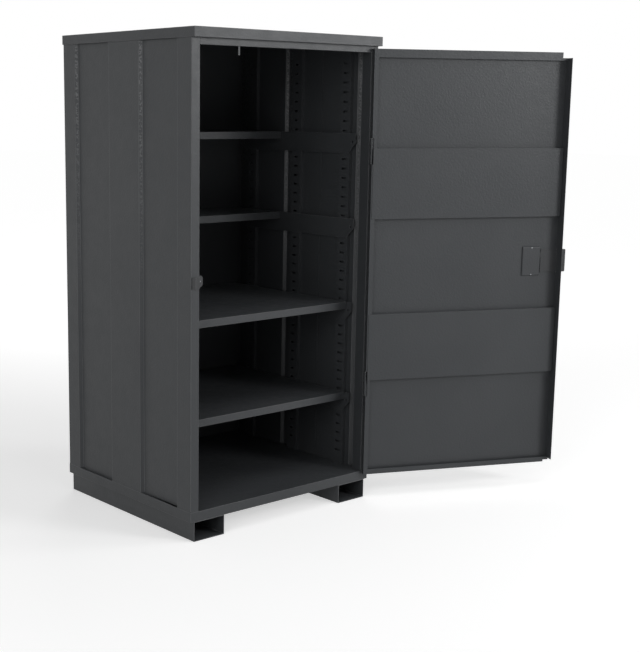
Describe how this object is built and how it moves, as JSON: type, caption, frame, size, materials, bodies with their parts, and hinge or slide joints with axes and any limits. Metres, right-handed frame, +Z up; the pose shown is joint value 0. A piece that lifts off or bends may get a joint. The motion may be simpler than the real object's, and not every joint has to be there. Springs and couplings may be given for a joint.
{
  "type": "steel tool cabinet",
  "caption": "Tall steel cabinet on fork skids, with slotted uprights, adjustable shelves on brackets and a wide hinged door with a handle-driven bolt, standing open.",
  "frame": {"origin": "middle of the bounding box of the cabinet with its door open as in the picture, at floor level", "axes": "+Z up, the open front faces -Y, the hinges are on the +X side of the cabinet body"},
  "size_m": [1.8238, 1.312, 2],
  "materials": {
    "charcoal_coat": "dark charcoal-grey fine-textured powder coat",
    "dark_coat": "darker grey powder coat on the fittings",
    "zinc": "bright zinc plating"
  },
  "bodies": {
    "cabinet": {"roof_cap": "charcoal_coat", "base_tray": "charcoal_coat", "left_skid": "charcoal_coat", "right_skid": "charcoal_coat", "left_side_panel": "charcoal_coat", "left_front_post": "charcoal_coat", "right_side_panel": "charcoal_coat", "right_front_post": "charcoal_coat", "back_panel": "charcoal_coat", "top_rail": "charcoal_coat", "door_stop_tab": "charcoal_coat", "left_upright_1": "charcoal_coat", "right_upright_1": "charcoal_coat", "left_upright_2": "charcoal_coat", "right_upright_2": "charcoal_coat", "left_upright_3": "charcoal_coat", "right_upright_3": "charcoal_coat", "lower_shelf": "charcoal_coat", "lower_shelf_left_bracket": "charcoal_coat", "lower_shelf_right_bracket": "charcoal_coat", "lower_middle_shelf": "charcoal_coat", "lower_middle_shelf_left_bracket": "charcoal_coat", "lower_middle_shelf_right_bracket": "charcoal_coat", "upper_middle_shelf": "charcoal_coat", "upper_middle_shelf_left_bracket": "charcoal_coat", "upper_middle_shelf_right_bracket": "charcoal_coat", "upper_shelf": "charcoal_coat", "upper_shelf_left_bracket": "charcoal_coat", "upper_shelf_right_bracket": "charcoal_coat", "lower_hinge_post_knuckle": "charcoal_coat", "lower_hinge_pin": "zinc", "upper_hinge_post_knuckle": "charcoal_coat", "upper_hinge_pin": "zinc", "keeper": "dark_coat", "keeper_screw": "zinc"},
    "door": {"door_pan": "charcoal_coat", "lower_band": "charcoal_coat", "upper_band": "charcoal_coat", "lower_hinge_door_knuckle": "charcoal_coat", "upper_hinge_door_knuckle": "charcoal_coat", "lock_cover": "charcoal_coat", "lower_cover_screw": "zinc", "upper_cover_screw": "zinc", "handle_plate": "dark_coat"},
    "handle": {"turn_handle": "dark_coat", "drive_wheel": "zinc"},
    "bolt": {"latch_bolt": "dark_coat"},
    "key": {"lock_cylinder": "zinc"}
  },
  "joints": [
    {"name": "door_swing", "type": "hinge", "parent": "cabinet", "child": "door", "pos_m": [0.04515, -0.24828, 0], "axis": [0, 0, 1], "range_deg": [-155.8, 4.2]},
    {"name": "handle_turn", "type": "hinge", "parent": "door", "child": "handle", "pos_m": [0.75786, -0.5579, 1.04], "axis": [-0.4099, -0.9121, 0], "range_deg": [0, 90]},
    {"name": "bolt_slide", "type": "slide", "parent": "door", "child": "bolt", "axis": [0.9121, -0.4099, 0], "range_m": [-0.023, 0]},
    {"name": "key_turn", "type": "hinge", "parent": "door", "child": "key", "pos_m": [0.75786, -0.5579, 1.002], "axis": [-0.4099, -0.9121, 0], "range_deg": [0, 90]}
  ],
  "couplings": [
    {"joint": "bolt_slide", "follows": "handle_turn", "m_per_rad": -0.0146}
  ]
}
